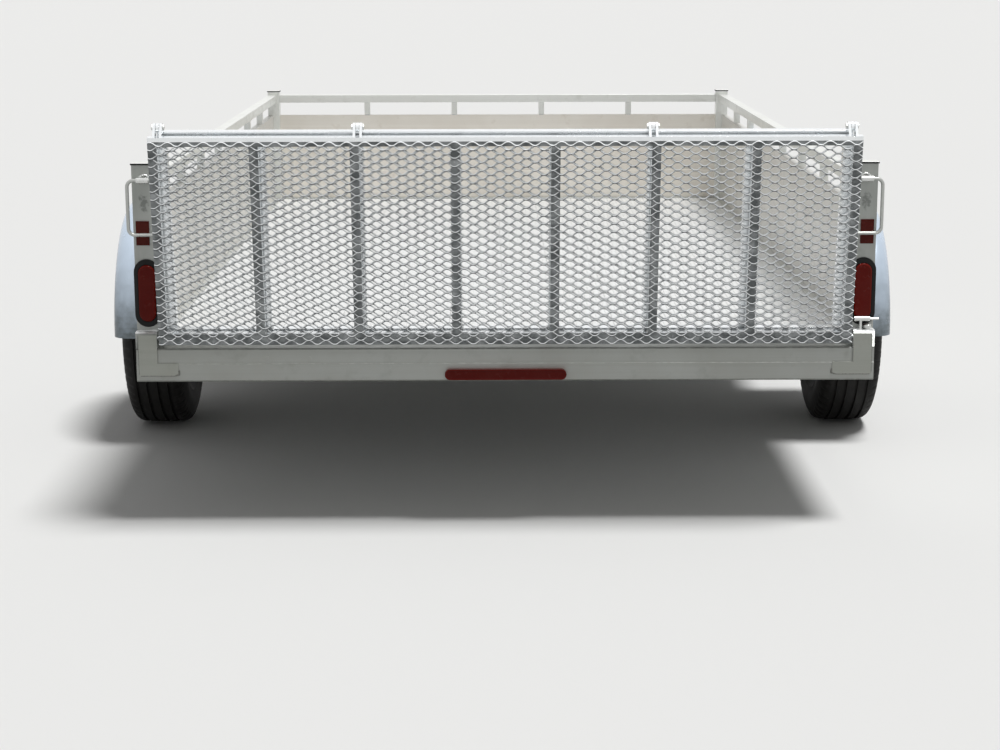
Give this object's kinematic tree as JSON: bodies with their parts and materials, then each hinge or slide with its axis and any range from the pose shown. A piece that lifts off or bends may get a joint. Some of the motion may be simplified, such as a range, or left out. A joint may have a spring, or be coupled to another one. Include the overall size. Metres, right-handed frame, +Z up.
{
  "type": "utility trailer",
  "caption": "Aluminium utility trailer with solid sides, top rail, bi-fold mesh ramp gate, round fenders, torsion axle and A-frame tongue on a swivel jack.",
  "frame": {"origin": "on the ground under the middle of the trailer's outline", "axes": "+X to the right seen from behind, +Y forward to the tongue, +Z up"},
  "size_m": [2.564, 4.9246, 1.1488],
  "materials": {
    "aluminium_frame": "mill finish extrusion, dull with handling marks",
    "aluminium_deck": "bright extruded planks",
    "aluminium_mesh": "expanded metal, bright strands",
    "aluminium_fender": "smooth polished sheet",
    "zinc_steel": "zinc plated",
    "galvanised_steel": "galvanised, grey",
    "tongue_aluminium": "mill finish box tube",
    "rim_silver": "silver paint",
    "tyre": "black rubber",
    "rubber": "black moulded grommet",
    "red_lens": "deep red lens",
    "reflector": "red reflector",
    "amber_lens": "amber lens"
  },
  "bodies": {
    "chassis": {"axle_beam": "galvanised_steel", "corner_plates": "aluminium_frame", "coupler": "zinc_steel", "coupler_lever": "zinc_steel", "crossmembers": "aluminium_frame", "deck_planks": "aluminium_deck", "deck_trim": "aluminium_frame", "fender_left": "aluminium_fender", "fender_right": "aluminium_fender", "front_posts": "aluminium_frame", "front_sill": "aluminium_frame", "front_uprights": "aluminium_frame", "id_lamp_bar": "red_lens", "jack_bracket": "zinc_steel", "latch_rods": "zinc_steel", "latch_sleeves": "zinc_steel", "marker_lamps": "amber_lens", "post_caps": "aluminium_frame", "post_feet": "aluminium_frame", "rail_front": "aluminium_frame", "rail_left": "aluminium_frame", "rail_right": "aluminium_frame", "rear_post_left": "aluminium_frame", "rear_post_right": "aluminium_frame", "rear_sill": "aluminium_frame", "reflectors": "reflector", "side_sill_left": "aluminium_frame", "side_sill_right": "aluminium_frame", "side_uprights": "aluminium_frame", "tail_grommets": "rubber", "tail_lenses": "red_lens", "tongue_rail_left": "tongue_aluminium", "tongue_rail_right": "tongue_aluminium", "torsion_arm_left": "galvanised_steel", "torsion_arm_right": "galvanised_steel", "wall_front": "aluminium_frame", "wall_left": "aluminium_frame", "wall_right": "aluminium_frame"},
    "wheel_left": {"tyre_left": "tyre", "rim_left": "rim_silver", "hub_left": "galvanised_steel"},
    "wheel_right": {"tyre_right": "tyre", "rim_right": "rim_silver", "hub_right": "galvanised_steel"},
    "gate": {"gate_frame": "aluminium_frame", "gate_mesh": "aluminium_mesh", "fold_bolts": "zinc_steel"},
    "fold_panel": {"fold_frame": "aluminium_frame", "fold_mesh": "aluminium_mesh"},
    "jack": {"jack_tube": "zinc_steel", "jack_crank": "zinc_steel"},
    "jack_ram": {"jack_leg": "zinc_steel"}
  },
  "joints": [
    {"name": "wheel_left_spin", "type": "hinge", "parent": "chassis", "child": "wheel_left", "pos_m": [-1.1725, -1.00749, 0.343], "axis": [1, 0, 0], "continuous": true},
    {"name": "wheel_right_spin", "type": "hinge", "parent": "chassis", "child": "wheel_right", "pos_m": [1.1725, -1.00749, 0.343], "axis": [1, 0, 0], "continuous": true},
    {"name": "gate_hinge", "type": "hinge", "parent": "chassis", "child": "gate", "pos_m": [0, -2.36749, 0.542], "axis": [1, 0, 0], "range_deg": [0, 108]},
    {"name": "fold_hinge", "type": "hinge", "parent": "gate", "child": "fold_panel", "pos_m": [0, -2.4324, 1.13675], "axis": [1, 0, 0], "range_deg": [0, 180]},
    {"name": "jack_swivel", "type": "hinge", "parent": "chassis", "child": "jack", "pos_m": [-0.25642, 1.85129, 0.381], "axis": [-0.9063, 0.4226, 0], "range_deg": [0, 90]},
    {"name": "jack_slide", "type": "slide", "parent": "jack", "child": "jack_ram", "axis": [0, 0, 1], "range_m": [-0.05, 0.204]}
  ]
}
